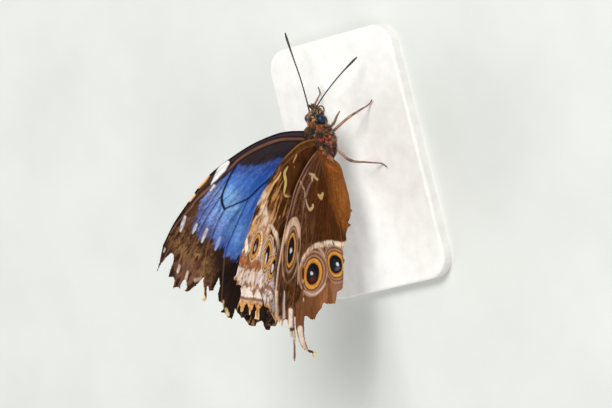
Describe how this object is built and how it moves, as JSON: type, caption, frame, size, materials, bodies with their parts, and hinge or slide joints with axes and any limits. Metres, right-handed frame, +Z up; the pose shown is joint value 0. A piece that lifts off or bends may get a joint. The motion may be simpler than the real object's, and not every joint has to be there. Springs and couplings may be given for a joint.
{
  "type": "blue morpho butterfly model on a display base",
  "caption": "Life-size butterfly standing on a flat base with worn wings held half open above its back, blue on one face and brown with eye spots on the other.",
  "frame": {"origin": "centre of the underside of the display base", "axes": "+Z up, -Y towards the head, +Y towards the wing tips at the tail, -X towards the butterfly's right side"},
  "size_m": [0.046, 0.081, 0.0697],
  "materials": {
    "base_matte": "smooth matte off-white",
    "body_hair": "dark brown hair with orange and red tufts",
    "abdomen_skin": "short brown scales",
    "eye_gloss": "glossy dark facetted eye",
    "limb_skin": "thin brown skin with fine scales",
    "forewing_scales": "iridescent blue above, patterned brown below",
    "hindwing_scales": "brown scales with ringed eye spots"
  },
  "bodies": {
    "root": {"stand_base": "base_matte", "thorax": "body_hair", "abdomen": "abdomen_skin", "head": "body_hair", "eye_left": "eye_gloss", "eye_right": "eye_gloss", "palp_left": "body_hair", "palp_right": "body_hair", "proboscis": "limb_skin", "antenna_left": "limb_skin", "antenna_right": "limb_skin", "foreleg_left": "limb_skin", "foreleg_right": "limb_skin", "midleg_left": "limb_skin", "midleg_right": "limb_skin", "hindleg_left": "limb_skin", "hindleg_right": "limb_skin", "forewing_left": "forewing_scales", "forewing_right": "forewing_scales", "hindwing_left": "hindwing_scales", "hindwing_right": "hindwing_scales"}
  },
  "joints": []
}
